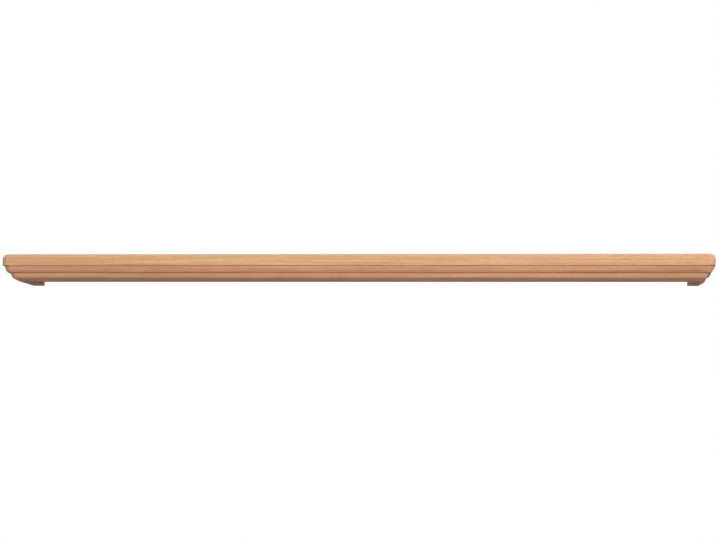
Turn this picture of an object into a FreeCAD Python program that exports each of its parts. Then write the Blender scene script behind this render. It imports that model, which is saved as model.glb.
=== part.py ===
import FreeCAD, Part
import math
import os

# A wooden wall shelf. A square-edged board lies on two layers of moulded strips, which are
# mitred at the front corners and return to the wall. Behind them a hanging rail, with two
# keyhole plates let into its back, carries the shelf on two wall screws.
# All lengths are in millimetres. X runs along the shelf, the front looks towards -Y, the wall is
# the plane Y = 0, and Z is up. The origin lies on the wall, midway along the shelf, at the height
# where the shanks of the wall screws carry it.

os.makedirs("parts", exist_ok=True)

Vector = FreeCAD.Vector
X_DIR = Vector(1, 0, 0)
Y_DIR = Vector(0, 1, 0)
Z_DIR = Vector(0, 0, 1)

# Top board. Its upper edge has a large round-over that follows the rounded front corners, and the
# corners are rounder than the round-over by the last value.
board_length = 1219.0
board_depth = 150.0
board_thickness = 19.8
board_top_round = 9.5
board_bottom_round = 0.8
board_corner_extra = 0.5

# Upper moulded strips: a face that leans in a little, rolling over to a slope that runs under
upper_height = 11.7
upper_setback = 2.6
upper_corner_radius = 13.0
upper_face_height = 8.8
upper_face_lean = 2.2
upper_roll_radius = 13.0
upper_moulding_depth = 5.8

# Lower moulded strips, stepped in below the upper ones, with a longer slope and a flat underside
lower_height = 13.9
lower_step = 2.5
lower_corner_radius = 13.0
lower_face_height = 8.2
lower_face_lean = 3.5
lower_roll_radius = 10.0
lower_moulding_depth = 14.2
lower_flat_width = 19.0
lower_edge_round = 0.6

# Hanging rail between the returns, flush with the wall
rail_thickness = 19.0
rail_height = 17.5
rail_edge_round = 0.8

# Keyhole plates, lying along the rail, with an upright keyhole in the middle. The head of the wall
# screw goes in at the entry, and its shank then stands in the neck above it.
stud_spacing = 812.8
plate_length = 44.0
plate_thickness = 1.6
plate_corner_radius = 3.0
plate_rim = 1.2
entry_radius = 4.0
neck_radius = 2.3
keyhole_rise = 4.6
plate_screw_spacing = 34.0
recess_clearance = 0.15

# Pocket behind each plate, as tall as the way that the screw's head goes
pocket_width = 12.0
pocket_depth = 7.0
pocket_corner_radius = 3.0

# Plate screws, two to each plate
plate_screw_length = 15.0
plate_screw_radius = 1.45
plate_screw_head_radius = 2.7
plate_screw_head_depth = 1.35
plate_screw_point = 3.0
plate_screw_drive_width = 0.8
plate_screw_drive_length = 3.4
plate_screw_drive_depth = 1.0

# Rail screws, which hold the rail up against the board
rail_screw_count = 5
rail_screw_end_distance = 60.0
rail_screw_length = 32.0
rail_screw_radius = 2.1
rail_screw_head_radius = 4.1
rail_screw_head_depth = 2.4
rail_screw_point = 5.0
rail_screw_drive_width = 1.1
rail_screw_drive_length = 5.2
rail_screw_drive_depth = 1.6

# Brads, driven up through both strips into the board and set under the surface
brad_length = 35.0
brad_radius = 0.6
brad_head_radius = 0.9
brad_head_depth = 0.7
brad_point = 1.5
brad_set_depth = 1.0
front_brad_count = 7
front_brad_end_distance = 80.0
return_brad_count = 2
return_brad_front_distance = 70.0
return_brad_wall_distance = 20.0

# Glue blocks behind the mouldings, under the board
corner_block_leg = 36.0
glue_block_leg = 17.0
glue_block_length = 60.0
glue_block_end_distance = 145.0

# One overrun serves every cut that has to pass a face, and one tolerance tells two places apart
cut_overrun = 5.0
same_place = 1e-6

mitre_turn = 45
quarter_turn = 90
full_turn = 360

# Places worked out from the sizes above
half_length = board_length / 2
front_y = -board_depth
board_corner_radius = board_top_round + board_corner_extra
lower_setback = upper_setback + upper_moulding_depth + lower_step
flat_inset = lower_setback + lower_moulding_depth
strip_inner_inset = flat_inset + lower_flat_width
inner_half_length = half_length - strip_inner_inset
inner_front_y = front_y + strip_inner_inset

pocket_height = keyhole_rise + 2 * entry_radius
plate_height = pocket_height + 2 * plate_rim
plate_centre_z = -keyhole_rise / 2
rail_bottom_z = plate_centre_z - rail_height / 2
board_bottom_z = rail_bottom_z + rail_height
board_top_z = board_bottom_z + board_thickness
upper_bottom_z = board_bottom_z - upper_height
lower_bottom_z = upper_bottom_z - lower_height
entry_z = -keyhole_rise
keyhole_xs = [-stud_spacing / 2, stud_spacing / 2]
plate_screw_xs = [x + side * plate_screw_spacing / 2 for x in keyhole_xs for side in (-1, 1)]


def spread(first, last, count):
    """Evenly spaced places from the first to the last."""
    step = (last - first) / (count - 1)
    return [first + step * i for i in range(count)]


def prism(points, direction):
    """A solid made by pushing a closed outline along a vector."""
    outline = Part.makePolygon(points + [points[0]])
    return Part.Face(outline).extrude(direction)


def rounded_face(corners):
    """A flat face from corners and radii in turn. Each corner is rounded, or sharp at radius 0."""
    stretches = []
    for i, (corner, radius) in enumerate(corners):
        to_before = (corners[i - 1][0] - corner).normalize()
        to_after = (corners[(i + 1) % len(corners)][0] - corner).normalize()
        half_angle = to_before.getAngle(to_after) / 2
        reach = radius / math.tan(half_angle)
        inward = (to_before + to_after).normalize()
        start = corner + to_before * reach
        middle = corner + inward * (radius / math.sin(half_angle) - radius)
        end = corner + to_after * reach
        stretches.append((start, middle, end))
    edges = []
    for i, (start, middle, end) in enumerate(stretches):
        if (end - start).Length > same_place:
            edges.append(Part.Arc(start, middle, end).toShape())
        edges.append(Part.makeLine(end, stretches[(i + 1) % len(stretches)][0]))
    return Part.Face(Part.Wire(edges))


def rounded_plate(length, height, depth, radius, centre_x, centre_z, back_y):
    """A plate with rounded corners that reaches from back_y towards the front."""
    x0, x1 = centre_x - length / 2, centre_x + length / 2
    z0, z1 = centre_z - height / 2, centre_z + height / 2
    corners = [(Vector(x, back_y, z), radius) for x, z in ((x0, z0), (x1, z0), (x1, z1), (x0, z1))]
    return rounded_face(corners).extrude(Y_DIR * -depth)


def turned(profile):
    """A solid of revolution about Z, from radius and height pairs that start and end on the axis."""
    points = [Vector(r, 0, z) for r, z in profile]
    outline = Part.makePolygon(points + [points[0]])
    return Part.Face(outline).revolve(Vector(0, 0, 0), Z_DIR, full_turn)


def wood_screw(length, radius, head_radius, head_depth, point):
    """A countersunk screw standing on its head, with its point up."""
    return turned([
        (0, 0),
        (head_radius, 0),
        (radius, head_depth),
        (radius, length - point),
        (0, length),
    ])


def cross_drive(width, length, depth):
    """The cross-shaped recess in a screw's head, cut up from Z = 0."""
    tall = depth + cut_overrun
    bar = Part.makeBox(length, width, tall, Vector(-length / 2, -width / 2, -cut_overrun))
    arm = Part.makeBox(width, length, tall, Vector(-width / 2, -length / 2, -cut_overrun))
    return bar.fuse(arm)


def brad():
    """A brad standing on its head, with its point up."""
    return turned([
        (0, 0),
        (brad_head_radius, 0),
        (brad_head_radius, brad_head_depth),
        (brad_radius, brad_head_depth),
        (brad_radius, brad_length - brad_point),
        (0, brad_length),
    ])


def moved(shape, place):
    """A copy of a shape, carried to a place."""
    copy = shape.copy()
    copy.translate(place)
    return copy


def laid_to_front(shape, place):
    """A copy of a shape that stood along Z, laid down to point at the front, then carried to a place."""
    copy = shape.copy()
    copy.rotate(Vector(0, 0, 0), X_DIR, quarter_turn)
    copy.translate(place)
    return copy


def strip_set(
    top_z, bottom_z, setback, corner_radius,
    face_height, face_lean, roll_radius, moulding_depth, edge_round,
):
    """The front strip and both returns of one layer, mitred where they meet. In plan the moulded
    face rounds each front corner: it turns about an upright axis that stands on the mitre."""
    section = [
        (setback, top_z, 0),
        (setback + face_lean, top_z - face_height, roll_radius),
        (setback + moulding_depth, bottom_z, edge_round),
        (strip_inner_inset, bottom_z, edge_round),
        (strip_inner_inset, top_z, 0),
    ]
    axis_inset = setback + corner_radius
    axis = Vector(axis_inset - half_length, front_y + axis_inset, 0)
    front_section = [(Vector(axis.x, front_y + inset, z), radius) for inset, z, radius in section]
    left_section = [(Vector(inset - half_length, axis.y, z), radius) for inset, z, radius in section]
    front_face = rounded_face(front_section)
    left_face = rounded_face(left_section)

    low, tall = bottom_z - cut_overrun, top_z - bottom_z + 2 * cut_overrun
    front_plan = prism([
        Vector(axis.x, front_y, low),
        Vector(-axis.x, front_y, low),
        Vector(-axis.x, axis.y, low),
        Vector(inner_half_length, inner_front_y, low),
        Vector(-inner_half_length, inner_front_y, low),
        Vector(axis.x, axis.y, low),
    ], Z_DIR * tall)
    left_plan = prism([
        Vector(-half_length, axis.y, low),
        Vector(axis.x, axis.y, low),
        Vector(-inner_half_length, inner_front_y, low),
        Vector(-inner_half_length, 0, low),
        Vector(-half_length, 0, low),
    ], Z_DIR * tall)
    front = front_face.extrude(X_DIR * (-2 * axis.x)).common(front_plan)
    left = left_face.extrude(Y_DIR * -axis.y).common(left_plan)

    before_axis = Part.makeBox(
        2 * cut_overrun, axis_inset, tall, Vector(axis.x - cut_overrun, front_y, low),
    )
    turning_face = front_face.common(before_axis).Faces[0]
    corner = turning_face.revolve(axis, Z_DIR * -1, mitre_turn)
    front = front.fuse([corner, corner.mirror(Vector(0, 0, 0), X_DIR)]).removeSplitter().Solids[0]
    left = left.fuse(corner.mirror(axis, X_DIR - Y_DIR)).removeSplitter().Solids[0]
    return front, left, left.mirror(Vector(0, 0, 0), X_DIR)


def top_board():
    """The board, its two front corners rounded in plan before its edges are rounded over."""
    plan = [
        (Vector(-half_length, front_y, board_bottom_z), board_corner_radius),
        (Vector(half_length, front_y, board_bottom_z), board_corner_radius),
        (Vector(half_length, 0, board_bottom_z), 0),
        (Vector(-half_length, 0, board_bottom_z), 0),
    ]
    board = rounded_face(plan).extrude(Z_DIR * board_thickness)
    for edge_z, radius in ((board_top_z, board_top_round), (board_bottom_z, board_bottom_round)):
        rim = []
        for edge in board.Edges:
            box = edge.BoundBox
            level = abs(box.ZMin - edge_z) < same_place and abs(box.ZMax - edge_z) < same_place
            if level and box.YMin < -same_place:
                rim.append(edge)
        board = board.makeFillet(radius, rim)
    return board


def hanging_rail():
    """The rail, with a shallow recess for each plate and a pocket behind it."""
    left_x = -inner_half_length
    rail = rounded_face([
        (Vector(left_x, 0, rail_bottom_z), 0),
        (Vector(left_x, -rail_thickness, rail_bottom_z), rail_edge_round),
        (Vector(left_x, -rail_thickness, board_bottom_z), 0),
        (Vector(left_x, 0, board_bottom_z), 0),
    ]).extrude(X_DIR * (inner_half_length - left_x))
    for x in keyhole_xs:
        recess = rounded_plate(
            plate_length + 2 * recess_clearance, plate_height + 2 * recess_clearance,
            plate_thickness + cut_overrun, plate_corner_radius + recess_clearance,
            x, plate_centre_z, cut_overrun,
        )
        pocket = rounded_plate(
            pocket_width, pocket_height, pocket_depth + plate_thickness,
            pocket_corner_radius, x, plate_centre_z, 0,
        )
        rail = rail.cut(recess).cut(pocket)
    return rail


def keyhole_plate(x):
    """A steel plate with its keyhole: a round entry for the screw's head and a neck above it."""
    plate = rounded_plate(
        plate_length, plate_height, plate_thickness, plate_corner_radius, x, plate_centre_z, 0,
    )
    depth = plate_thickness + 2 * cut_overrun
    front = -plate_thickness - cut_overrun
    entry = Part.makeCylinder(entry_radius, depth, Vector(x, front, entry_z), Y_DIR)
    neck_end = Part.makeCylinder(neck_radius, depth, Vector(x, front, 0), Y_DIR)
    neck = Part.makeBox(2 * neck_radius, depth, keyhole_rise, Vector(x - neck_radius, front, entry_z))
    return plate.cut(entry.fuse([neck, neck_end]).removeSplitter())


def brad_places():
    """Where the brads go in, along the middle of the strips' flat underside."""
    inset = flat_inset + lower_flat_width / 2
    z = lower_bottom_z + brad_set_depth
    places = []
    front_reach = half_length - front_brad_end_distance
    for x in spread(-front_reach, front_reach, front_brad_count):
        places.append(Vector(x, front_y + inset, z))
    for y in spread(front_y + return_brad_front_distance, -return_brad_wall_distance, return_brad_count):
        for side in (-1, 1):
            places.append(Vector(side * (half_length - inset), y, z))
    return places


# The wood, before it is drilled
wood = {"top_board": top_board(), "hanging_rail": hanging_rail()}
strips = {
    "upper_moulding": strip_set(
        board_bottom_z, upper_bottom_z, upper_setback, upper_corner_radius,
        upper_face_height, upper_face_lean, upper_roll_radius, upper_moulding_depth, 0,
    ),
    "lower_moulding": strip_set(
        upper_bottom_z, lower_bottom_z, lower_setback, lower_corner_radius,
        lower_face_height, lower_face_lean, lower_roll_radius, lower_moulding_depth, lower_edge_round,
    ),
}
for layer, (front, left, right) in strips.items():
    wood[layer + "_front"] = front
    wood[layer + "_left_return"] = left
    wood[layer + "_right_return"] = right

# Triangular blocks glued into the two inside corners
corner_block = prism([
    Vector(-inner_half_length, inner_front_y, board_bottom_z),
    Vector(-inner_half_length + corner_block_leg, inner_front_y, board_bottom_z),
    Vector(-inner_half_length, inner_front_y + corner_block_leg, board_bottom_z),
], Z_DIR * -glue_block_leg)
wood["corner_block_left"] = corner_block
wood["corner_block_right"] = corner_block.mirror(Vector(0, 0, 0), X_DIR)

# Three-cornered blocks glued along the back of the front strips
block_names = ("left", "middle", "right")
block_reach = inner_half_length - glue_block_end_distance
for name, centre_x in zip(block_names, spread(-block_reach, block_reach, len(block_names))):
    start_x = centre_x - glue_block_length / 2
    wood["front_block_" + name] = prism([
        Vector(start_x, inner_front_y, board_bottom_z),
        Vector(start_x, inner_front_y + glue_block_leg, board_bottom_z),
        Vector(start_x, inner_front_y, board_bottom_z - glue_block_leg),
    ], X_DIR * glue_block_length)

# Screws up through the rail, with their heads flush with its underside
rail_screw_body = wood_screw(
    rail_screw_length, rail_screw_radius, rail_screw_head_radius,
    rail_screw_head_depth, rail_screw_point,
)
rail_screw = rail_screw_body.cut(
    cross_drive(rail_screw_drive_width, rail_screw_drive_length, rail_screw_drive_depth)
)
rail_screw_reach = inner_half_length - rail_screw_end_distance
rail_screw_places = [
    Vector(x, -rail_thickness / 2, rail_bottom_z)
    for x in spread(-rail_screw_reach, rail_screw_reach, rail_screw_count)
]

# Screws through the plates, with their heads flush with the wall face
plate_screw_body = wood_screw(
    plate_screw_length, plate_screw_radius, plate_screw_head_radius,
    plate_screw_head_depth, plate_screw_point,
)
plate_screw = plate_screw_body.cut(
    cross_drive(plate_screw_drive_width, plate_screw_drive_length, plate_screw_drive_depth)
)
plate_screw_places = [Vector(x, 0, plate_centre_z) for x in plate_screw_xs]

# Brads, with the filler that closes the hole under each head
filler = Part.makeCylinder(brad_head_radius, brad_set_depth, Vector(0, 0, -brad_set_depth))
brads = [moved(brad(), place) for place in brad_places()]
fillers = [moved(filler, place) for place in brad_places()]

# Every screw and brad has its hole in the wood and steel that it passes through
rail_screw_holes = [moved(rail_screw_body, place) for place in rail_screw_places]
plate_screw_holes = [laid_to_front(plate_screw_body, place) for place in plate_screw_places]
brad_holes = brads + fillers
drilled = {
    "top_board": rail_screw_holes + brad_holes,
    "hanging_rail": rail_screw_holes + plate_screw_holes,
}
for layer in strips:
    for part_name in ("_front", "_left_return", "_right_return"):
        drilled[layer + part_name] = brad_holes

nodes = {}
for name, solid in wood.items():
    for hole in drilled.get(name, []):
        if hole.BoundBox.intersect(solid.BoundBox):
            solid = solid.cut(hole)
    nodes[name] = solid.Solids[0]

for name, x in zip(("keyhole_plate_left", "keyhole_plate_right"), keyhole_xs):
    nodes[name] = keyhole_plate(x).cut(plate_screw_holes).Solids[0]

plate_screws = [laid_to_front(plate_screw, place) for place in plate_screw_places]
rail_screws = [moved(rail_screw, place) for place in rail_screw_places]
nodes["keyhole_plate_screws"] = Part.makeCompound(plate_screws)
nodes["rail_screws"] = Part.makeCompound(rail_screws)
nodes["moulding_brads"] = Part.makeCompound(brads)
nodes["nail_hole_fillers"] = Part.makeCompound(fillers)

for name, shape in nodes.items():
    shape.exportStep("parts/" + name + ".step")
    print(name, len(shape.Solids), "valid" if shape.isValid() else "NOT VALID", round(shape.Volume, 1))
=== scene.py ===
import math

import bpy
import numpy as np
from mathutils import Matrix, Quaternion, Vector


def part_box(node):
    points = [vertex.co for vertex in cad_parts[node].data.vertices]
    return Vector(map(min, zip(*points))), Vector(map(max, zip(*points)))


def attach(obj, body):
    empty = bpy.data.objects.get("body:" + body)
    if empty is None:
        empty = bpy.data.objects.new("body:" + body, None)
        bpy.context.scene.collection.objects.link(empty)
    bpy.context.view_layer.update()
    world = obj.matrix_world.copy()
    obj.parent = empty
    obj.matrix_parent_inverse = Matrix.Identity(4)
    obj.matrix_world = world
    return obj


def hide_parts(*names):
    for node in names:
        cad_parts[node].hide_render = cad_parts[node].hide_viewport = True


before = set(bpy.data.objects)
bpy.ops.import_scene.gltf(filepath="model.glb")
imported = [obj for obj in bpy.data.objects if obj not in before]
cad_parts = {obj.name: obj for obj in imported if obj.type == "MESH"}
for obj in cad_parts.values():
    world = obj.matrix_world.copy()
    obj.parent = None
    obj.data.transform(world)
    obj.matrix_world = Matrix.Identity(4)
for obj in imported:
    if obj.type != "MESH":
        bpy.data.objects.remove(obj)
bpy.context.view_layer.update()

scene = bpy.context.scene
mm = 0.001

# Camera. The photograph looks a little upwards at the shelf, from a little to the right of its
# middle, through a long lens. The picture is 716 pixels wide and 540 high.
camera_sensor = 36.0
camera_lens = 136.19
camera_place = Vector((0.435, -4.7185, -0.3248))
camera_aim = Vector((0.0063, -0.15, -0.0017))
camera_roll = 0.0063

camera_data = bpy.data.cameras.new("camera")
camera_data.sensor_width = camera_sensor
camera_data.lens = camera_lens
camera = bpy.data.objects.new("camera", camera_data)
scene.collection.objects.link(camera)
scene.camera = camera
camera.location = camera_place
camera.rotation_mode = "QUATERNION"
camera_turn = (camera_aim - camera_place).to_track_quat("-Z", "Y")
camera.rotation_quaternion = camera_turn @ Quaternion((0, 0, 1), camera_roll)

# Top board. One plank of solid hardwood, planed, sanded and finished with a satin lacquer. Its
# front corners are rounded in plan and its upper edge is rounded over by hand with a router.
board_corner_radius = 10.0 * mm
board_top_round = 9.5 * mm
board_bottom_round = 0.8 * mm
board_back_ease = 0.4 * mm
board_face_shares = np.array([0.0, 0.03, 0.1, 0.25, 0.5, 0.75, 0.9, 0.97, 1.0])
board_flat_insets = np.array([10.0, 11.5, 14.0, 20.0, 30.0, 46.0, 70.0]) * mm
arc_steps = 11
long_run_steps = 62
short_run_steps = 10
board_cap_lead = 30
edge_fade = 2.5 * mm


def rounded_plans(left, right, front, back, front_radius, back_radius):
    """Rounded rectangles seen in plan, one ring for each entry of the arrays. Each corner is a
    quarter circle about its own centre, and evenly spaced points on straight runs join them.
    Returns the points, and the direction in which each one faces."""
    quarter = np.linspace(0, math.pi / 2, arc_steps)
    corners = [
        (left + front_radius, front + front_radius, front_radius, math.pi),
        (right - front_radius, front + front_radius, front_radius, 1.5 * math.pi),
        (right - back_radius, back - back_radius, back_radius, 0.0),
        (left + back_radius, back - back_radius, back_radius, 0.5 * math.pi),
    ]
    arcs = []
    for centre_x, centre_y, radius, start in corners:
        facing = np.stack([np.cos(quarter + start), np.sin(quarter + start)], -1)
        centre = np.stack([centre_x, centre_y], -1)[:, None]
        points = centre + radius[:, None, None] * facing
        arcs.append((points, np.broadcast_to(facing, points.shape)))
    points, facings = [], []
    for k, (arc, facing) in enumerate(arcs):
        following = arcs[(k + 1) % len(arcs)][0]
        steps = long_run_steps if k % 2 == 0 else short_run_steps
        share = np.linspace(0, 1, steps)[1:-1, None]
        run = arc[:, -1:] + (following[:, :1] - arc[:, -1:]) * share
        points += [arc, run]
        facings += [facing, np.broadcast_to(facing[:, -1:], run.shape)]
    half_side = (short_run_steps - 2) // 2
    points = np.roll(np.concatenate(points, 1), half_side, 1)
    facings = np.roll(np.concatenate(facings, 1), half_side, 1)
    return points, facings


def closed_mesh(name, rings, facings, lead=0, **masks):
    """A closed skin over rings of points. Four-sided faces join each ring to the next one, and a
    ladder of faces across the first and the last ring closes the ends. The ladder leaves out lead
    rungs at either end, where one face with many sides takes its place. Facings are the directions
    that the smooth surface looks in, and masks are kept as attributes of the points."""
    ring_count, around = rings.shape[:2]
    index = np.arange(ring_count * around).reshape(ring_count, around)
    after = np.roll(index, -1, 1)
    walls = np.stack([index[:-1], after[:-1], after[1:], index[1:]], -1).reshape(-1, 4)
    last_rung = around // 2 - 1 - lead
    k = np.arange(lead, last_rung)
    first, last = index[0], index[-1]
    start_cap = np.stack([first[k], first[-1 - k], first[-2 - k], first[k + 1]], -1)
    end_cap = np.stack([last[k], last[k + 1], last[-2 - k], last[-1 - k]], -1)
    faces = np.concatenate([walls, start_cap, end_cap]).tolist()
    near = np.arange(-1 - lead, lead + 1)
    far = np.arange(last_rung, around - last_rung)
    for tip in (near, far):
        if len(tip) > 2:
            faces += [first[tip[::-1]].tolist(), last[tip].tolist()]
    mesh = bpy.data.meshes.new(name)
    mesh.from_pydata(rings.reshape(-1, 3).tolist(), [], faces)
    mesh.polygons.foreach_set("use_smooth", np.ones(len(faces), bool))
    lengths = np.linalg.norm(facings, axis=-1, keepdims=True)
    mesh.normals_split_custom_set_from_vertices((facings / lengths).reshape(-1, 3).tolist())
    for mask_name, values in masks.items():
        attribute = mesh.attributes.new(mask_name, "FLOAT", "POINT")
        spread_out = np.broadcast_to(values, (ring_count, around)).astype(np.float32)
        attribute.data.foreach_set("value", spread_out.ravel())
    mesh.update()
    return mesh


def add_piece(name, mesh, material, slot, *nodes):
    """Puts a finished mesh into the scene at the origin, in place of the solids that it stands for."""
    piece = bpy.data.objects.new(name, mesh)
    scene.collection.objects.link(piece)
    mesh.materials.append(material)
    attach(piece, "root")
    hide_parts(*nodes)
    return piece


def board_mesh(low, high):
    """A stack of level rounded rectangles. From the middle of the underside the rings grow outwards,
    turn up round the lower arris, climb the edge, turn in round the upper one and shrink again
    over the top. Tilt is how far the surface leans from facing sideways to facing up. The wall side
    stays upright for longer, because only its last bit of height is eased, so that the round-over
    of the ends runs out through it."""
    turn = np.linspace(0, math.pi / 2, arc_steps)
    face_low, face_high = low.z + board_bottom_round, high.z - board_top_round
    face = face_low + (face_high - face_low) * board_face_shares
    flat = board_flat_insets
    tilt = np.concatenate([
        np.full(len(flat), -math.pi / 2), turn - math.pi / 2,
        np.zeros(len(face) - 2), turn, np.full(len(flat), math.pi / 2),
    ])
    beyond = np.concatenate([
        flat[::-1], np.zeros(arc_steps * 2 + len(face) - 2), flat,
    ])
    level = np.concatenate([
        np.full(len(flat) + arc_steps, face_low), face[1:-1], np.full(len(flat) + arc_steps, face_high),
    ])
    side_round = np.where(tilt < 0, board_bottom_round, board_top_round)
    side_inset = side_round * (1 - np.cos(tilt)) + np.maximum(beyond - side_round, 0)
    to_surface = side_round * (1 - np.abs(np.sin(tilt)))
    back_tilt = np.sign(tilt) * np.arcsin(np.clip(1 - to_surface / board_back_ease, 0, 1))
    back_inset = board_back_ease * (1 - np.cos(back_tilt)) + np.maximum(beyond - board_back_ease, 0)
    front_radius = np.maximum(board_corner_radius - side_inset, board_back_ease)
    back_radius = np.full(len(tilt), board_back_ease)
    plan, facing = rounded_plans(
        low.x + side_inset, high.x - side_inset, low.y + side_inset, high.y - back_inset,
        front_radius, back_radius,
    )
    surface = np.where(tilt < 0, low.z, high.z)
    height = np.where(tilt == 0, level, surface - np.sign(tilt) * to_surface)
    rings = np.concatenate([plan, np.broadcast_to(height[:, None, None], (*plan.shape[:2], 1))], -1)
    towards_back = np.clip(facing[..., 1], 0, 1)
    lean = tilt[:, None] + (back_tilt - tilt)[:, None] * towards_back
    facings = np.concatenate([facing * np.cos(lean)[..., None], np.sin(lean)[..., None]], -1)
    up_the_edge = np.where(tilt == 0, np.minimum(level - low.z, high.z - level), 0)
    to_arris = np.where(beyond > 0, beyond, up_the_edge)
    arris = np.exp(-np.maximum(to_arris, 0) / edge_fade)[:, None]
    return closed_mesh(
        "top_board", rings, facings, board_cap_lead, arris=arris, seam=0.0, underside=0.0,
    )


mix_factor, mix_first, mix_second, mix_result = 0, 6, 7, 2


def add_node(tree, kind, sockets=None, **settings):
    """Adds a shader node, makes its settings, and fills its sockets with links or values."""
    made = tree.nodes.new("ShaderNode" + kind)
    for name, value in settings.items():
        setattr(made, name, value)
    for name, value in (sockets or {}).items():
        if isinstance(value, bpy.types.NodeSocket):
            tree.links.new(value, made.inputs[name])
        else:
            made.inputs[name].default_value = value
    return made


def calc(tree, operation, *values):
    """One step of arithmetic, and its result."""
    return add_node(tree, "Math", dict(enumerate(values)), operation=operation).outputs[0]


def vector_calc(tree, operation, *values):
    """One step of arithmetic on vectors, and its result."""
    return add_node(tree, "VectorMath", dict(enumerate(values)), operation=operation).outputs[0]


def mix_colour(tree, share, first, second, blend_type="MIX"):
    """The first colour, with a share of the second one laid over it. The Mix node's sockets for
    colours have no names of their own, so they go by number."""
    made = add_node(
        tree, "Mix", {mix_factor: share, mix_first: first, mix_second: second},
        data_type="RGBA", blend_type=blend_type,
    )
    return made.outputs[mix_result]


def shaded(tree, colour, tone):
    """A colour made lighter or darker by a tone, which leaves it as it is at 1."""
    grey = add_node(tree, "CombineColor", {0: tone, 1: tone, 2: tone}).outputs[0]
    return mix_colour(tree, 1.0, colour, grey, "MULTIPLY")


def rise_between(tree, value, low, high, low_value=0.0, high_value=1.0):
    """An even climb from one value to another, eased at both ends and level outside."""
    made = add_node(
        tree, "MapRange",
        {"Value": value, "From Min": low, "From Max": high, "To Min": low_value, "To Max": high_value},
        interpolation_type="SMOOTHSTEP",
    )
    return made.outputs["Result"]


def stretched_noise(tree, place, frequency, detail=2.0, roughness=0.5):
    """Soft noise whose frequency, in waves to the metre, differs from axis to axis."""
    stretched = vector_calc(tree, "MULTIPLY", place, frequency)
    return add_node(
        tree, "TexNoise",
        {"Vector": stretched, "Scale": 1.0, "Detail": detail, "Roughness": roughness},
    )


def new_group(name, inputs, outputs):
    """An empty node group with named sockets. Gives the group, its input node and its output node."""
    group = bpy.data.node_groups.new(name, "ShaderNodeTree")
    for direction, sockets in (("INPUT", inputs), ("OUTPUT", outputs)):
        for socket_name, kind in sockets.items():
            socket_type = "NodeSocket" + kind
            group.interface.new_socket(name=socket_name, in_out=direction, socket_type=socket_type)
    return group, group.nodes.new("NodeGroupInput"), group.nodes.new("NodeGroupOutput")


def new_material(name):
    """A material with nodes. Gives the material, its tree, its shader and its object coordinates."""
    material = bpy.data.materials.new(name)
    material.use_nodes = True
    tree = material.node_tree
    place = add_node(tree, "TexCoord").outputs["Object"]
    return material, tree, tree.nodes["Principled BSDF"], place


def bump_normal(tree, height, strength, distance, **sockets):
    """The direction that a surface faces once a relief is pressed into it."""
    made = add_node(
        tree, "Bump", {"Height": height, "Strength": strength, "Distance": distance, **sockets},
    )
    return made.outputs[0]


# Waves are frequencies of noise to the metre, along the grain and across it. A rise holds the low
# and the high end of a climb for rise_between, and after them the values it climbs between.
sway_waves = (1.3, 9.0, 9.0)
sway_reach = (0.0, 35.0 * mm, 35.0 * mm)
trunk_taper = 0.012
ripple_waves = (11.0, 75.0, 75.0)
ring_ripple = 1.6 * mm
uneven_year_waves = 95.0
uneven_years = 2.2
late_rise = (0.15, 0.9)
late_fall = (0.9, 1.0, 1.0, 0.0)
late_least_share = 0.3
fibre_waves = (4.0, 420.0, 420.0)
fibre_tone_rise = (0.25, 0.75, 0.86, 1.12)
drift_waves = (4.5, 105.0, 105.0)
drift_rise = (0.35, 0.72, -0.12, 0.34)
warmth_waves = (3.6, 70.0, 70.0)
warmth_shift = (3.1, 1.7, 0.9)
warmth_rise = (0.42, 0.62, 0.0, 0.75)
pore_waves = (130.0, 2900.0, 2900.0)
pore_rise = (0.58, 0.7)
pores_lost_late_share = 0.8
pore_colour = (0.16, 0.075, 0.035, 1.0)
fibre_relief = 0.35
late_relief = 0.2
pore_relief = -0.6


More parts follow.
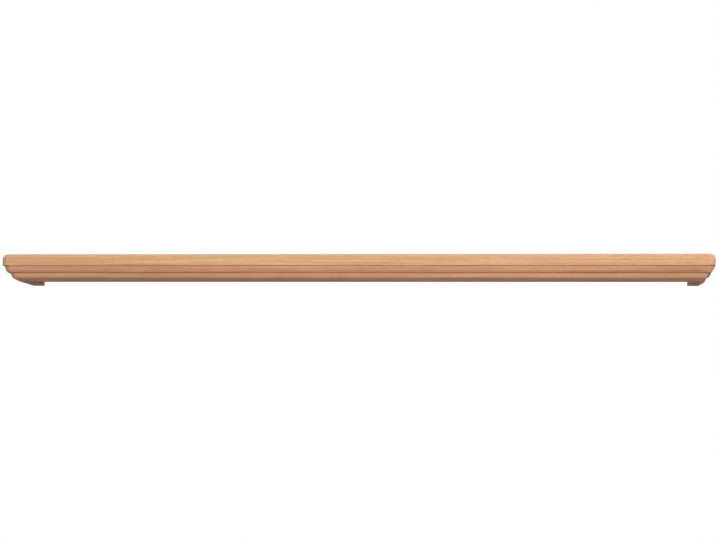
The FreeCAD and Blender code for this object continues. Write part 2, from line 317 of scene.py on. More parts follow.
def wood_figure_group():
    """Solid wood, with the grain along X and the pith near the X axis. Growth rings are cones about
    the pith that sway a little along the trunk. Fibres, pores and drifts of colour are noises drawn
    out along the grain, so every cut through the wood shows its proper long or end grain."""
    group, given, result = new_group(
        "wood_figure",
        {
            "Place": "Vector", "Ring Width": "Float", "Contrast": "Float", "Pore Depth": "Float",
            "Light": "Color", "Dark": "Color", "Rose": "Color",
        },
        {"Colour": "Color", "Relief": "Float", "Dullness": "Float"},
    )
    place = given.outputs["Place"]
    sway = stretched_noise(group, place, sway_waves, detail=1.5).outputs["Color"]
    centred = vector_calc(group, "SUBTRACT", sway, (0.5, 0.5, 0.5))
    swayed = vector_calc(group, "MULTIPLY_ADD", centred, sway_reach, place)
    along, *across = add_node(group, "SeparateXYZ", {0: swayed}).outputs
    squares = calc(group, "ADD", *(calc(group, "POWER", part, 2.0) for part in across))
    radius = calc(group, "MULTIPLY_ADD", along, trunk_taper, calc(group, "SQRT", squares))
    ripple = stretched_noise(group, place, ripple_waves).outputs["Fac"]
    rippled = calc(group, "MULTIPLY_ADD", ripple, ring_ripple, radius)
    uneven = add_node(
        group, "TexNoise", {"W": rippled, "Scale": uneven_year_waves, "Detail": 1.0},
        noise_dimensions="1D",
    ).outputs["Fac"]
    years = calc(group, "DIVIDE", rippled, given.outputs["Ring Width"])
    years = calc(group, "MULTIPLY_ADD", uneven, uneven_years, years)
    season = calc(group, "FRACT", years)
    late = calc(
        group, "MULTIPLY", rise_between(group, season, *late_rise),
        rise_between(group, season, *late_fall),
    )
    year = calc(group, "FLOOR", years)
    year_tone = add_node(group, "TexWhiteNoise", {"W": year}, noise_dimensions="1D").outputs["Value"]
    year_tone = calc(group, "MULTIPLY_ADD", year_tone, 1 - late_least_share, late_least_share)
    late = calc(group, "MULTIPLY", late, year_tone)

    fibre = stretched_noise(group, place, fibre_waves, detail=3.0, roughness=0.6).outputs["Fac"]
    drift = stretched_noise(group, place, drift_waves).outputs["Fac"]
    shifted = vector_calc(group, "ADD", place, warmth_shift)
    warmth = stretched_noise(group, shifted, warmth_waves).outputs["Fac"]
    pore_noise = stretched_noise(group, place, pore_waves, detail=1.0).outputs["Fac"]
    pores = rise_between(group, pore_noise, *pore_rise)
    pores_kept = calc(group, "MULTIPLY_ADD", late, -pores_lost_late_share, 1.0)
    pores = calc(group, "MULTIPLY", pores, pores_kept)

    dark_share = calc(group, "MULTIPLY", late, given.outputs["Contrast"])
    dark_share = calc(group, "ADD", dark_share, rise_between(group, drift, *drift_rise))
    dark_share = calc(group, "MAXIMUM", dark_share, 0.0)
    colour = mix_colour(group, dark_share, given.outputs["Light"], given.outputs["Dark"])
    rose_share = rise_between(group, warmth, *warmth_rise)
    colour = mix_colour(group, rose_share, colour, given.outputs["Rose"])
    colour = shaded(group, colour, rise_between(group, fibre, *fibre_tone_rise))
    pore_share = calc(group, "MULTIPLY", pores, given.outputs["Pore Depth"])
    colour = mix_colour(group, pore_share, colour, pore_colour)
    relief = calc(group, "MULTIPLY_ADD", fibre, fibre_relief, calc(group, "MULTIPLY", late, late_relief))
    relief = calc(group, "MULTIPLY_ADD", pores, pore_relief, relief)
    dullness = calc(group, "MULTIPLY", calc(group, "ADD", pores, fibre), 0.5)
    group.links.new(colour, result.inputs["Colour"])
    group.links.new(relief, result.inputs["Relief"])
    group.links.new(dullness, result.inputs["Dullness"])
    return group


patch_waves = (38.0, 38.0, 38.0)
rubbed_rise = (0.42, 0.7)
rubbed_share = 0.35
rubbed_colour = (0.78, 0.5, 0.3, 1.0)
# Painted shade: faces that look down are darkened towards this brown.
painted_underside_shade_share = 0.42
painted_underside_shade_colour = (0.19, 0.08, 0.04, 1.0)
# At the seams this brown stands for dust and wax, and also for painted shade in the step between pieces.
seam_dust_and_shade_rise = (0.25, 0.6, 0.02, 0.12)
seam_dust_and_shade_colour = (0.12, 0.055, 0.03, 1.0)


def wear_and_painted_shade_group():
    """Years of use on a finish, and painted shade, by the masks that a mesh carries. Along the arrises
    it is rubbed thin and pale in patches, undersides are darkened as painted shade, and the seams
    between pieces are darkened for dust and wax and for painted shade."""
    group, given, result = new_group(
        "wear_and_painted_shade", {"Place": "Vector", "Colour": "Color"}, {"Colour": "Color", "Rubbed": "Float"},
    )
    arris, underside, seam = (
        add_node(group, "Attribute", attribute_name=mask).outputs["Fac"]
        for mask in ("arris", "underside", "seam")
    )
    place = given.outputs["Place"]
    patches = stretched_noise(group, place, patch_waves, detail=4.0, roughness=0.65).outputs["Fac"]
    rubbed = calc(group, "MULTIPLY", arris, rise_between(group, patches, *rubbed_rise))
    pale = calc(group, "MULTIPLY", rubbed, rubbed_share)
    painted_underside_shade = calc(group, "MULTIPLY", underside, painted_underside_shade_share)
    seam_dust_and_shade = calc(group, "MULTIPLY", seam, rise_between(group, patches, *seam_dust_and_shade_rise))
    colour = mix_colour(group, pale, given.outputs["Colour"], rubbed_colour)
    colour = mix_colour(group, painted_underside_shade, colour, painted_underside_shade_colour)
    colour = mix_colour(group, seam_dust_and_shade, colour, seam_dust_and_shade_colour)
    group.links.new(colour, result.inputs["Colour"])
    group.links.new(rubbed, result.inputs["Rubbed"])
    return group


wood_figure = wood_figure_group()
wear_and_painted_shade = wear_and_painted_shade_group()
grain_relief = 0.3 * mm
lacquered_pore_depth = 0.5
lacquered_bump = 0.35
lacquer_roughness = 0.42
lacquer_roughness_by_dullness = 0.22
lacquer_roughness_where_rubbed = 0.12
lacquer_specular = 0.25
grain_along_x, grain_along_y = 0.0, math.pi / 2


def cut_wood(tree, place, grain_turn, cut, ring_width, contrast, pore_depth, tones):
    """The figure of one piece of wood. Grain turn is how far the grain is turned from X. The cut
    says, in metres, where the heart of the trunk lies beside the piece, across the grain, and how
    far the figure is slid along it, so that no two pieces come from the same place. The tones are
    the light, the dark and the rosy colour of the wood. Gives the turned place and the figure."""
    heart_y, heart_z, slide = cut
    light, dark, rose = tones
    turned = add_node(
        tree, "Mapping",
        {"Vector": place, "Rotation": (0.0, 0.0, -grain_turn), "Location": (slide, -heart_y, -heart_z)},
    ).outputs[0]
    figure = add_node(
        tree, "Group",
        {
            "Place": turned, "Ring Width": ring_width, "Contrast": contrast, "Pore Depth": pore_depth,
            "Light": light, "Dark": dark, "Rose": rose,
        },
        node_tree=wood_figure,
    )
    return turned, figure.outputs


def lacquered_wood(name, grain_turn, cut, ring_width, contrast, tones):
    """Hardwood under satin lacquer, duller in its pores and where it is rubbed, with painted shade on
    its undersides and at its seams.
    """
    material, tree, shader, place = new_material(name)
    turned, figure = cut_wood(
        tree, place, grain_turn, cut, ring_width, contrast, lacquered_pore_depth, tones,
    )
    worn_and_shaded = add_node(
        tree, "Group", {"Place": place, "Colour": figure["Colour"]}, node_tree=wear_and_painted_shade,
    ).outputs
    rough = calc(
        tree, "MULTIPLY_ADD", figure["Dullness"], lacquer_roughness_by_dullness, lacquer_roughness,
    )
    rough = calc(tree, "MULTIPLY_ADD", worn_and_shaded["Rubbed"], lacquer_roughness_where_rubbed, rough)
    tree.links.new(worn_and_shaded["Colour"], shader.inputs["Base Color"])
    tree.links.new(rough, shader.inputs["Roughness"])
    normal = bump_normal(tree, figure["Relief"], lacquered_bump, grain_relief)
    tree.links.new(normal, shader.inputs["Normal"])
    shader.inputs["Specular IOR Level"].default_value = lacquer_specular
    return material


board_cut = (-0.075, -0.055, 2.3)
board_ring_width = 4.2 * mm
board_contrast = 0.5
board_tones = (
    (0.745, 0.445, 0.234, 1.0),
    (0.52, 0.26, 0.121, 1.0),
    (0.725, 0.383, 0.22, 1.0),
)
board_low, board_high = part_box("top_board")
board_finish = lacquered_wood(
    "board_lacquered", grain_along_x, board_cut, board_ring_width, board_contrast, board_tones,
)
add_piece("board", board_mesh(board_low, board_high), board_finish, "board_wood", "top_board")

# Upper moulded strips. A front strip and two returns of the same hardwood, glued under the board
# and mitred at the front corners. Each face leans in a little and rolls over to run underneath.
upper_corner_radius = 13.0 * mm
upper_setback = 2.6 * mm
upper_face_height = 8.8 * mm
upper_face_lean = 2.2 * mm
upper_roll_radius = 13.0 * mm
upper_moulding_depth = 5.8 * mm
hand_ease = 0.25 * mm
mitre_ease = 0.2 * mm
mitre_edge_radius = 0.8 * mm
tip_turn = 0.45 * math.pi
ease_steps = 4
swing_steps = 8
seam_fade = 0.7 * mm
strip_run_step = 20.0 * mm
side_step = 1.2 * mm
arc_step = 0.12
least_arc_points = 3
least_side_steps = 2
mitre_seam_share = 0.6
bent_arris_share, flat_arris_share = 0.5, 0.1
least_bend = 0.01
underside_start = 0.5


def moulded_section(corners):
    """A closed outline through corners, given in turn with their radii. Each corner becomes an
    arc that touches both its sides, and evenly spaced points fill the sides between the arcs.
    Returns the points, and the direction in which each one faces."""
    places = np.array([corner[:2] for corner in corners])
    radii = np.array([corner[2] for corner in corners])
    back = np.roll(places, 1, 0) - places
    ahead = np.roll(places, -1, 0) - places
    back /= np.linalg.norm(back, axis=1, keepdims=True)
    ahead /= np.linalg.norm(ahead, axis=1, keepdims=True)
    half_angle = np.arccos(np.clip((back * ahead).sum(1), -1, 1)) / 2
    inward = (back + ahead) / np.linalg.norm(back + ahead, axis=1, keepdims=True)
    centres = places + inward * (radii / np.sin(half_angle))[:, None]
    reach = (radii / np.tan(half_angle))[:, None]
    starts, ends = places + back * reach, places + ahead * reach
    points, facings = [], []
    for k in range(len(corners)):
        from_centre = (starts[k] - centres[k]) / radii[k]
        to_centre = (ends[k] - centres[k]) / radii[k]
        sweep = math.pi - 2 * half_angle[k]
        steps = max(least_arc_points, math.ceil(sweep / arc_step))
        share = np.linspace(0, 1, steps)[:, None]
        facing = np.sin((1 - share) * sweep) * from_centre + np.sin(share * sweep) * to_centre
        facing /= math.sin(sweep)
        following = starts[(k + 1) % len(corners)]
        side_steps = max(least_side_steps, math.ceil(np.linalg.norm(following - ends[k]) / side_step))
        fill = np.linspace(0, 1, side_steps + 1)[1:-1, None]
        run = ends[k] + (following - ends[k]) * fill
        points += [centres[k] + radii[k] * facing, run]
        facings += [facing, np.repeat(facing[-1:], len(run), 0)]
    return np.concatenate(points), np.concatenate(facings)


def strip_end(inset, plan_radius, setback, mitred):
    """The rings at one end of a strip, from its straight part to its tip. Where the end is mitred,
    each point of the outline first goes an eighth of a turn round the corner on its own arc, which
    is smaller the further in the point lies, and never sharper than the eased edge of a mitre. At
    the tip the outline draws in on a quarter circle, which eases the joint.
    Returns each point's distance from the corner, its inset, its swing and the tip's tilt."""
    tip_tilt = np.linspace(0, 1, ease_steps + 1)[1:] * tip_turn
    swing = np.linspace(0, 1, swing_steps + 1) if mitred else np.zeros(1)
    tilt = np.append(np.zeros(len(swing)), tip_tilt)
    swing = np.append(swing, np.full(ease_steps, swing[-1]))[:, None]
    to_tip = (mitre_ease * (1 - np.sin(tilt) / math.sin(tip_turn)))[:, None]
    if not mitred:
        level = np.zeros(len(inset))
        return to_tip + level, inset + 0 * to_tip, 0 * to_tip + level, tilt
    outer = inset < strip_inner - 2 * mitre_edge_radius
    radius = np.maximum(setback + plan_radius - inset, mitre_edge_radius)
    angle = swing * (math.pi / 4 - to_tip / radius)
    straight = mitre_edge_radius * (1 - swing) + to_tip * swing
    distance = np.where(outer, inset + radius * (1 - np.sin(angle)), inset + straight)
    moved_in = np.where(outer, inset + radius * (1 - np.cos(angle)), inset)
    return distance, moved_in, np.where(outer, angle, 0), tilt


def strip_mesh(name, section, facing, corner, run, along, plan_radius, setback, mitres):
    """An outline carried along a straight run, with an end at each side as strip_end gives it. Where
    mitres, for the start and the end, are true, the end meets its neighbour in a plane at half a
    right angle, and otherwise it stands square against the wall. The masks are the seams, where
    pieces meet, the arrises, where the outline bends, and how far a face looks down."""
    mitred_start, mitred_end = mitres
    along = np.array(along, float)
    across = np.array([-along[1], along[0], 0.0])
    upward = np.array([0.0, 0.0, 1.0])
    inset, height = section[:, 0], section[:, 1]
    first = [part[::-1] for part in strip_end(inset, plan_radius, setback, mitred_start)]
    last = strip_end(inset, plan_radius, setback, mitred_end)
    share = np.linspace(0, 1, round(run / strip_run_step) + 1)[1:-1, None]
    middle = first[0][-1] + (run - last[0][0] - first[0][-1]) * share
    level = np.zeros(middle.shape)
    distance = np.concatenate([first[0], middle, run - last[0]])
    moved_in = np.concatenate([first[1], inset + level, last[1]])
    angle = np.concatenate([-first[2], level, last[2]])
    tilt = np.concatenate([-first[3], np.zeros(len(share)), last[3]])[:, None, None]
    inward = across * np.cos(angle)[..., None] - along * np.sin(angle)[..., None]
    ahead = along * np.cos(angle)[..., None] + across * np.sin(angle)[..., None]
    outward = inward * facing[:, :1] + upward * facing[:, 1:]
    draw_in = mitre_ease * (1 - np.cos(tilt))
    rings = (
        np.array(corner) + along * distance[..., None] + across * moved_in[..., None]
        + upward * height[:, None] - outward * draw_in
    )
    facings = outward * np.cos(tilt) + ahead * np.sin(tilt)
    outer = inset < (inset.max() + inset.min()) / 2
    # The seam mask, at the top of the outer face and over the mitres, darkens the finish for dust and
    # for painted shade.
    seam = np.where(outer, np.exp(-(height.max() - height) / seam_fade), 0.0)
    mitred = np.where(tilt[..., 0] > 0, mitred_end, mitred_start)
    seam = np.maximum(seam[None], mitre_seam_share * mitred * np.abs(np.sin(tilt[..., 0])))
    bend = sum(np.abs(facing - np.roll(facing, step, 0)).sum(1) for step in (1, -1))
    arris = np.where(bend > least_bend, bent_arris_share, flat_arris_share) * (1 - seam)
    # How far a face looks down, which the finish darkens as painted shade.
    underside = np.clip((-facing[:, 1] - underside_start) / (1 - underside_start), 0, 1) ** 2
    return closed_mesh(name, rings, facings, arris=arris, seam=seam, underside=underside[None])


strip_ring_width = 3.1 * mm
strip_contrast = 0.42


def add_strips(layer, section, facing, plan_radius, setback, cuts, tones):
    """The front strip and the two returns of one layer, each cut from another place in the wood."""
    left, right = board_low.x, board_high.x
    front, back = board_low.y, board_high.y
    runs = {
        "front": ((left, front, 0.0), right - left, (1, 0, 0), (True, True), grain_along_x),
        "left_return": ((left, back, 0.0), back - front, (0, -1, 0), (False, True), grain_along_y),
        "right_return": ((right, front, 0.0), back - front, (0, 1, 0), (True, False), grain_along_y),
    }
    for side, (corner, run, along, mitres, grain_turn) in runs.items():
        node = layer + "_moulding_" + side
        mesh = strip_mesh(node, section, facing, corner, run, along, plan_radius, setback, mitres)
        finish = lacquered_wood(
            node + "_lacquered", grain_turn, cuts[side], strip_ring_width, strip_contrast, tones,
        )
        add_piece(layer + "_strip_" + side, mesh, finish, "moulding_wood", node)


upper_cuts = {
    "front": (-0.09, 0.12, 5.1),
    "left_return": (0.11, 0.08, 7.4),
    "right_return": (-0.14, 0.07, 9.2),
}
upper_tones = (
    (0.69, 0.365, 0.195, 1.0),
    (0.48, 0.215, 0.106, 1.0),
    (0.67, 0.315, 0.182, 1.0),
)
upper_low, upper_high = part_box("upper_moulding_front")
strip_inner = upper_high.y - board_low.y
upper_section, upper_facing = moulded_section([
    (upper_setback, upper_high.z, hand_ease),
    (upper_setback + upper_face_lean, upper_high.z - upper_face_height, upper_roll_radius),
    (upper_setback + upper_moulding_depth, upper_low.z, hand_ease),
    (strip_inner, upper_low.z, hand_ease),
    (strip_inner, upper_high.z, hand_ease),
])
add_strips(
    "upper", upper_section, upper_facing, upper_corner_radius, upper_setback, upper_cuts, upper_tones,
)

# Lower moulded strips. They step in under the upper ones and have a rounder nose, a long slope and
# a flat underside, through which brads are driven up. The putty over these stands a trace proud.
lower_corner_radius = 13.0 * mm
lower_step = 2.5 * mm
lower_face_height = 8.2 * mm
lower_face_lean = 3.5 * mm
lower_roll_radius = 10.0 * mm
lower_moulding_depth = 14.2 * mm
lower_edge_round = 0.6 * mm
putty_proud = 0.05 * mm
lower_cuts = {
    "front": (0.10, 0.13, 12.7),
    "left_return": (0.13, -0.09, 15.3),
    "right_return": (-0.10, -0.12, 18.6),
}
lower_tones = (
    (0.73, 0.385, 0.205, 1.0),
    (0.50, 0.225, 0.11, 1.0),
    (0.70, 0.325, 0.195, 1.0),
)
lower_low, lower_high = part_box("lower_moulding_front")
lower_setback = upper_setback + upper_moulding_depth + lower_step
lower_section, lower_facing = moulded_section([
    (lower_setback, lower_high.z, hand_ease),
    (lower_setback + lower_face_lean, lower_high.z - lower_face_height, lower_roll_radius),
    (lower_setback + lower_moulding_depth, lower_low.z + putty_proud, lower_edge_round),
    (strip_inner, lower_low.z + putty_proud, lower_edge_round),
    (strip_inner, lower_high.z, hand_ease),
])
add_strips(
    "lower", lower_section, lower_facing, lower_corner_radius, lower_setback, lower_cuts, lower_tones,
)

# Brads and filler. Eleven wire brads go up through both strips into the board, with their heads
# set below the surface. Coloured putty, pressed in with a knife and sanded, closes each hole.
putty_pale = (0.54, 0.28, 0.14, 1.0)
putty_dark = (0.34, 0.16, 0.08, 1.0)
putty_waves = (900.0, 900.0, 900.0)
putty_rise = (0.35, 0.65)
putty_grit_waves = (5200.0, 5200.0, 5200.0)
putty_roughness_rise = (0.3, 0.7, 0.6, 0.8)
putty_bump = 0.4
putty_relief = 0.08 * mm
wire_bright = (0.56, 0.56, 0.55, 1.0)
wire_dull = (0.42, 0.41, 0.40, 1.0)
wire_roughness = 0.28
wire_pattern_scale = 2.5
plating_cloud_waves = (110.0, 110.0, 110.0)
plating_cloud_rise = (0.35, 0.65)
plating_line_waves = (45.0, 2600.0, 2600.0)
plating_speck_waves = (950.0, 950.0, 950.0)
plating_speck_rise = (0.62, 0.74)
plating_speck_share = 0.6
plating_speck_relief = -0.8
plating_speck_colour = (0.16, 0.14, 0.12, 1.0)
plating_bump = 0.3
plating_relief = 0.05 * mm
plating_roughness_by_dullness = 0.3


def dress_node(name, finish):
    """Gives a finish to a piece that keeps its own solid's shape."""
    for material_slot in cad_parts[name].material_slots:
        material_slot.material = finish


def plating_group():
    """The skin of plated or drawn steel. Clouds of a second tint drift over it, fine lines from the
    rolling or drawing run along X, and small dark specks show where the plating has gone."""
    group, given, result = new_group(
        "plating",
        {"Place": "Vector", "Scale": "Float", "Base": "Color", "Tint": "Color"},
        {"Colour": "Color", "Dullness": "Float", "Relief": "Float"},
    )
    place = vector_calc(group, "SCALE", given.outputs["Place"])
    group.links.new(given.outputs["Scale"], place.node.inputs["Scale"])
    cloud = stretched_noise(group, place, plating_cloud_waves, detail=3.0, roughness=0.6).outputs["Fac"]
    lines = stretched_noise(group, place, plating_line_waves).outputs["Fac"]
    specks = stretched_noise(group, place, plating_speck_waves, roughness=0.55).outputs["Fac"]
    specks = rise_between(group, specks, *plating_speck_rise)
    tint_share = rise_between(group, cloud, *plating_cloud_rise)
    colour = mix_colour(group, tint_share, given.outputs["Base"], given.outputs["Tint"])
    speck_share = calc(group, "MULTIPLY", specks, plating_speck_share)
    colour = mix_colour(group, speck_share, colour, plating_speck_colour)
    dullness = calc(group, "MULTIPLY", calc(group, "ADD", cloud, lines), 0.5)
    relief = calc(group, "MULTIPLY_ADD", specks, plating_speck_relief, lines)
    group.links.new(colour, result.inputs["Colour"])
    group.links.new(calc(group, "MAXIMUM", dullness, specks), result.inputs["Dullness"])
    group.links.new(relief, result.inputs["Relief"])
    return group


plating = plating_group()


def plated_steel(name, scale, base, tint, roughness):
    """Metal with a plated or drawn skin. A scale over 1 shrinks the pattern for small pieces."""
    material, tree, shader, place = new_material(name)
    shader.inputs["Metallic"].default_value = 1.0
    skin = add_node(
        tree, "Group", {"Place": place, "Scale": scale, "Base": base, "Tint": tint}, node_tree=plating,
    ).outputs
    rough = calc(tree, "MULTIPLY_ADD", skin["Dullness"], plating_roughness_by_dullness, roughness)
    tree.links.new(skin["Colour"], shader.inputs["Base Color"])
    tree.links.new(rough, shader.inputs["Roughness"])
    normal = bump_normal(tree, skin["Relief"], plating_bump, plating_relief)
    tree.links.new(normal, shader.inputs["Normal"])
    return material


def putty_finish():
    """Coloured putty: two browns worked together, grainy from sanding, with tiny pits."""
    material, tree, shader, place = new_material("putty_sanded")
    worked = stretched_noise(tree, place, putty_waves, detail=3.0, roughness=0.6).outputs["Fac"]
    grit = stretched_noise(tree, place, putty_grit_waves).outputs["Fac"]
    colour = mix_colour(tree, rise_between(tree, worked, *putty_rise), putty_pale, putty_dark)
    tree.links.new(colour, shader.inputs["Base Color"])
    tree.links.new(rise_between(tree, grit, *putty_roughness_rise), shader.inputs["Roughness"])
    normal = bump_normal(tree, grit, putty_bump, putty_relief)
    tree.links.new(normal, shader.inputs["Normal"])
    return material


wire_finish = plated_steel("wire_drawn", wire_pattern_scale, wire_bright, wire_dull, wire_roughness)
dress_node("moulding_brads", wire_finish)
dress_node("nail_hole_fillers", putty_finish())

# Glue blocks. Offcuts of pale softwood, sawn three-cornered and rubbed into hot glue: one stands in
# each inside corner, and three lie along the back of the front strips, up against the board.
block_edge_radius = 0.5 * mm
block_tip_turn = 0.48 * math.pi
block_grain_turn = math.pi / 4
block_tones = (
    (0.82, 0.56, 0.31, 1.0),
    (0.64, 0.37, 0.17, 1.0),
    (0.78, 0.47, 0.26, 1.0),
)
saw_mark_spacing = 2.8 * mm
saw_mark_strength = 0.8
softwood_ring_width = 3.4 * mm
softwood_contrast = 0.6
softwood_pore_depth = 0.1
softwood_bump = 0.5
softwood_roughness = 0.62
softwood_roughness_by_dullness = 0.2
softwood_specular = 0.2
mark_crowding_waves = (90.0, 7.0, 7.0)
mark_crowding = 3.5
mark_fading_waves = (55.0, 60.0, 60.0)
mark_fading_rise = (0.35, 0.65, 0.1, 1.0)
mark_tone_rise = (-1.0, 1.0, 0.91, 1.05)
mark_bump = 0.6
mark_relief = 0.15 * mm


def block_mesh(name, corners, origin, side, up, run):
    """A flat outline with eased corners, pushed along the direction that is square to it. At both
    ends it draws in on a quarter circle, as wide as the easing, which takes off the sharp edge. As
    much of each end as can be is closed with large faces."""
    side, up = np.array(side, float), np.array(up, float)
    along = np.cross(side, up)
    outline, facing = moulded_section([(*corner, block_edge_radius) for corner in corners])
    tip = np.linspace(0, 1, ease_steps + 1)[1:] * block_tip_turn
    tilt = np.concatenate([-tip[::-1], [0, 0], tip])[:, None, None]
    depth = block_edge_radius * (1 - np.abs(np.sin(tilt)))
    place = np.where(np.arange(len(tilt)) < len(tilt) / 2, depth[:, 0, 0], run - depth[:, 0, 0])
    outward = side * facing[:, :1] + up * facing[:, 1:]
    flat = np.array(origin) + side * outline[:, :1] + up * outline[:, 1:]
    rings = flat + along * place[:, None, None] - outward * block_edge_radius * (1 - np.cos(tilt))
    facings = outward * np.cos(tilt) + along * np.sin(tilt)
    most_lead = rings.shape[1] // 4 - 1
    return closed_mesh(name, rings, facings, most_lead)


def tool_marks_group():
    """Marks that a saw or planer leaves across the grain, which runs along X. They are straight
    waves about a spacing apart, which crowd, spread, fade out and come back. Strength sets how
    much they shade the wood."""
    group, given, result = new_group(
        "tool_marks",
        {"Place": "Vector", "Spacing": "Float", "Strength": "Float"},
        {"Relief": "Float", "Tone": "Float"},
    )
    place = given.outputs["Place"]
    crowding = stretched_noise(
        group, place, mark_crowding_waves, detail=3.0, roughness=0.6,
    ).outputs["Fac"]
    fading = stretched_noise(group, place, mark_fading_waves).outputs["Fac"]
    along = add_node(group, "SeparateXYZ", {0: place}).outputs[0]
    turns = calc(group, "DIVIDE", along, given.outputs["Spacing"])
    turns = calc(group, "MULTIPLY_ADD", crowding, mark_crowding, turns)
    wave = calc(group, "SINE", calc(group, "MULTIPLY", turns, 2 * math.pi))
    share = rise_between(group, fading, *mark_fading_rise)
    share = calc(group, "MULTIPLY", share, given.outputs["Strength"])
    relief = calc(group, "MULTIPLY", wave, share)
    group.links.new(relief, result.inputs["Relief"])
    group.links.new(rise_between(group, relief, *mark_tone_rise), result.inputs["Tone"])
    return group


tool_marks = tool_marks_group()


def raw_softwood(name, grain_turn, cut, mark_spacing, mark_strength, tones):
    """Pale softwood as the saw or planer left it, with faint pores and the marks of the tool."""
    material, tree, shader, place = new_material(name)
    turned, figure = cut_wood(
        tree, place, grain_turn, cut, softwood_ring_width, softwood_contrast, softwood_pore_depth, tones,
    )
    marks = add_node(
        tree, "Group", {"Place": turned, "Spacing": mark_spacing, "Strength": mark_strength},
        node_tree=tool_marks,
    ).outputs
    rough = calc(
        tree, "MULTIPLY_ADD", figure["Dullness"], softwood_roughness_by_dullness, softwood_roughness,
    )
    tree.links.new(shaded(tree, figure["Colour"], marks["Tone"]), shader.inputs["Base Color"])
    tree.links.new(rough, shader.inputs["Roughness"])
    grain = bump_normal(tree, figure["Relief"], softwood_bump, grain_relief)
    normal = bump_normal(tree, marks["Relief"], mark_bump, mark_relief, Normal=grain)
    tree.links.new(normal, shader.inputs["Normal"])
    shader.inputs["Specular IOR Level"].default_value = softwood_specular
    return material


def add_block(name, corners, origin, side, up, run, grain_turn, cut):
    """One glue block in place of its solid."""
    mesh = block_mesh(name, corners, origin, side, up, run)
    finish = raw_softwood(
        name + "_sawn", grain_turn, cut, saw_mark_spacing, saw_mark_strength, block_tones,
    )
    add_piece("glued_" + name, mesh, finish, "block_wood", name)


front_block_cuts = {
    "front_block_left": (-0.06, 0.03, 1.2),
    "front_block_middle": (0.02, 0.07, 3.9),
    "front_block_right": (-0.11, -0.02, 6.4),
}
corner_block_cuts = {
    "corner_block_left": (-0.08, 0.05, 8.8),
    "corner_block_right": (0.12, 0.04, 10.3),
}
for name, cut in front_block_cuts.items():
    low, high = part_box(name)
    wide, deep, tall = high - low
    corners = [(0.0, tall), (0.0, 0.0), (deep, tall)]
    add_block(name, corners, low, (0, 1, 0), (0, 0, 1), wide, grain_along_x, cut)
for name, cut in corner_block_cuts.items():
    low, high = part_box(name)
    wide, deep, tall = high - low
    square_side = 0.0 if name == "corner_block_left" else wide
    corners = [(0.0, 0.0), (wide, 0.0), (square_side, deep)]
    add_block(name, corners, low, (1, 0, 0), (0, 1, 0), tall, block_grain_turn, cut)

# Hanging rail. A planed softwood strip with one thin coat of lacquer, screwed up under the board and
# glued between the returns. It keeps its solid, with the plates' recesses and the screws' pockets.
rail_cut = (-0.045, -0.06, 13.1)
rail_tones = (
    (0.79, 0.53, 0.29, 1.0),
    (0.61, 0.35, 0.155, 1.0),
    (0.75, 0.45, 0.24, 1.0),
)
planer_mark_spacing = 2.3 * mm
planer_mark_strength = 0.22
rail_coat = 0.25
rail_coat_roughness = 0.4
rail_finish = raw_softwood(
    "rail_planed", grain_along_x, rail_cut, planer_mark_spacing, planer_mark_strength, rail_tones,
)
rail_sockets = rail_finish.node_tree.nodes["Principled BSDF"].inputs
rail_sockets["Coat Weight"].default_value = rail_coat
rail_sockets["Coat Roughness"].default_value = rail_coat_roughness
dress_node("hanging_rail", rail_finish)

# Rail screws. Five countersunk wood screws with cross-shaped drives, plated yellow, driven up
# through the rail until their heads are flush.
yellow_zinc = (0.66, 0.52, 0.24, 1.0)
yellow_zinc_rose = (0.62, 0.44, 0.30, 1.0)
yellow_zinc_roughness = 0.25
screw_pattern_scale = 3.0
rail_screw_finish = plated_steel(
    "screw_yellow_zinc", screw_pattern_scale, yellow_zinc, yellow_zinc_rose, yellow_zinc_roughness,
)
dress_node("rail_screws", rail_screw_finish)

# Keyhole plates and their screws. Each plate is stamped from zinc-plated sheet and let into the back
# of the rail, flush with the wall face, where two small countersunk screws hold it.
white_zinc = (0.66, 0.67, 0.68, 1.0)
white_zinc_blue = (0.54, 0.57, 0.61, 1.0)
screw_grey = (0.34, 0.35, 0.37, 1.0)
plate_pattern_scale = 1.0
plate_roughness = 0.3
plate_screw_roughness = 0.22
plate_finish = plated_steel(
    "plate_white_zinc", plate_pattern_scale, white_zinc, white_zinc_blue, plate_roughness,
)
plate_screw_finish = plated_steel(
    "screw_white_zinc", screw_pattern_scale, white_zinc_blue, screw_grey, plate_screw_roughness,
)
dress_node("keyhole_plate_left", plate_finish)
dress_node("keyhole_plate_right", plate_finish)
dress_node("keyhole_plate_screws", plate_screw_finish)

# Studio. A plain pale floor far below a hung shelf, soft lamps on all four sides and above, and a
# white surround that the camera and glossy surfaces see. Seen from below, the floor is clear.
white = (1.0, 1.0, 1.0, 1.0)
floor_drop = 1.4
floor_reach = 16.0
floor_grey = (0.48, 0.48, 0.47, 1.0)
floor_grey_seen = (0.3, 0.3, 0.3, 1.0)
floor_grey_reflected = (0.3, 0.3, 0.3, 1.0)
floor_paleness = 0.72
floor_reflected = 0.15
floor_fade_rise = (2.0, 14.0, floor_paleness, 1.0)
floor_roughness = 0.8
floor_corners = [
    (x * floor_reach, y * floor_reach, -floor_drop) for x, y in ((-1, -1), (1, -1), (1, 1), (-1, 1))
]
floor_mesh = bpy.data.meshes.new("floor")
floor_mesh.from_pydata(floor_corners, [], [(0, 1, 2, 3)])
floor = bpy.data.objects.new("floor", floor_mesh)
scene.collection.objects.link(floor)


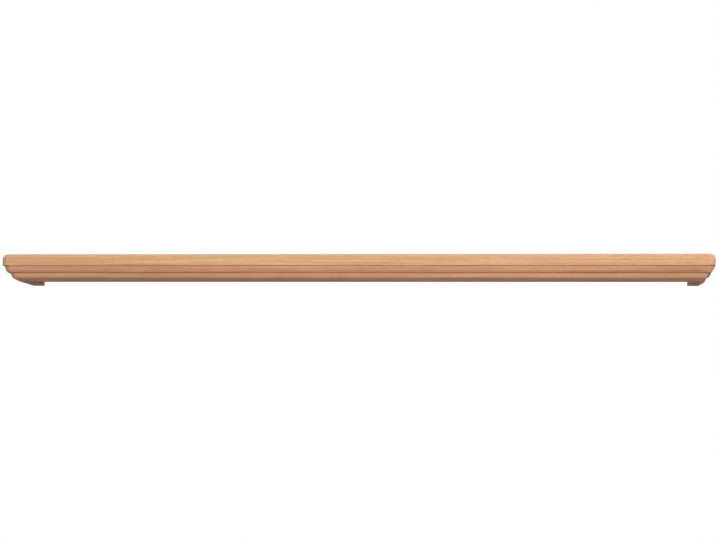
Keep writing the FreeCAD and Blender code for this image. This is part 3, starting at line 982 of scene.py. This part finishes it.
def pale_floor():
    """Matt paint that looks paler to the camera than the light it throws back on the shelf. It fades
    to white far away, and the camera looks through it from below."""
    material, tree, paint, place = new_material("floor_pale")
    paint.inputs["Roughness"].default_value = floor_roughness
    paint.inputs["Emission Color"].default_value = white
    rays = add_node(tree, "LightPath").outputs
    seen = calc(tree, "MAXIMUM", rays["Is Camera Ray"], rays["Is Transmission Ray"])
    grey = mix_colour(tree, seen, floor_grey, floor_grey_seen)
    grey = mix_colour(tree, rays["Is Glossy Ray"], grey, floor_grey_reflected)
    tree.links.new(grey, paint.inputs["Base Color"])
    away = add_node(tree, "VectorMath", {0: place}, operation="LENGTH").outputs["Value"]
    glow = calc(tree, "MULTIPLY", seen, rise_between(tree, away, *floor_fade_rise))
    glow = calc(tree, "MULTIPLY_ADD", rays["Is Glossy Ray"], floor_reflected, glow)
    tree.links.new(glow, paint.inputs["Emission Strength"])
    from_below = add_node(tree, "NewGeometry").outputs["Backfacing"]
    clear = calc(tree, "MULTIPLY", from_below, rays["Is Camera Ray"])
    see_through = add_node(tree, "BsdfTransparent")
    blend = add_node(tree, "MixShader", {0: clear, 1: paint.outputs[0], 2: see_through.outputs[0]})
    tree.links.new(blend.outputs[0], tree.nodes["Material Output"].inputs["Surface"])
    return material


floor_mesh.materials.append(pale_floor())


def add_lamp(name, place, width, height, power, mirrored):
    """A soft rectangular lamp that faces the shelf. Where it isn't mirrored, glossy surfaces don't
    show it, so that a low lamp leaves no glare on the lacquer."""
    lamp_data = bpy.data.lights.new(name, "AREA")
    lamp_data.shape = "RECTANGLE"
    lamp_data.size = width
    lamp_data.size_y = height
    lamp_data.energy = power
    lamp = bpy.data.objects.new(name, lamp_data)
    scene.collection.objects.link(lamp)
    lamp.location = place
    lamp.rotation_euler = (-Vector(place)).to_track_quat("-Z", "Y").to_euler()
    lamp.visible_camera = False
    lamp.visible_glossy = mirrored


# Each lamp has a place, a width, a height, a power in watts, and whether glossy surfaces show it.
lamps = {
    "front_lamp": ((0.0, -2.35, 0.5), 1.6, 0.9, 44, False),
    "side_lamp": ((3.0, -0.9, 0.35), 0.9, 0.7, 36, False),
    "left_lamp": ((-2.8, 0.5, 0.35), 0.9, 0.7, 8, False),
    "upper_lamp": ((0.7, -2.0, 2.7), 1.2, 0.8, 9, True),
    "top_lamp": ((0.0, 0.9, 3.2), 2.2, 1.2, 42, True),
    "back_lamp": ((-0.5, 3.4, 0.4), 2.2, 1.2, 36, False),
}
for name, (place, width, height, power, mirrored) in lamps.items():
    add_lamp(name, place, width, height, power, mirrored)

surround_light = 0.03
surround_rise = (-0.05, 0.4, 0.15, 1.0)
world = bpy.data.worlds.new("surround")
scene.world = world
world.use_nodes = True
world_tree = world.node_tree
world_tree.nodes.clear()
light_path = add_node(world_tree, "LightPath").outputs
look = add_node(world_tree, "TexCoord").outputs["Generated"]
look_up = add_node(world_tree, "SeparateXYZ", {0: look}).outputs[2]
reflected = rise_between(world_tree, look_up, *surround_rise)
reflected = calc(world_tree, "MULTIPLY", reflected, light_path["Is Glossy Ray"])
seen = calc(world_tree, "MAXIMUM", light_path["Is Camera Ray"], light_path["Is Transmission Ray"])
seen = calc(world_tree, "MAXIMUM", seen, reflected)
strength = calc(world_tree, "MAXIMUM", seen, surround_light)
backdrop = add_node(world_tree, "Background", {"Color": white, "Strength": strength})
add_node(world_tree, "OutputWorld", {"Surface": backdrop.outputs[0]})

scene.view_settings.view_transform = "Standard"
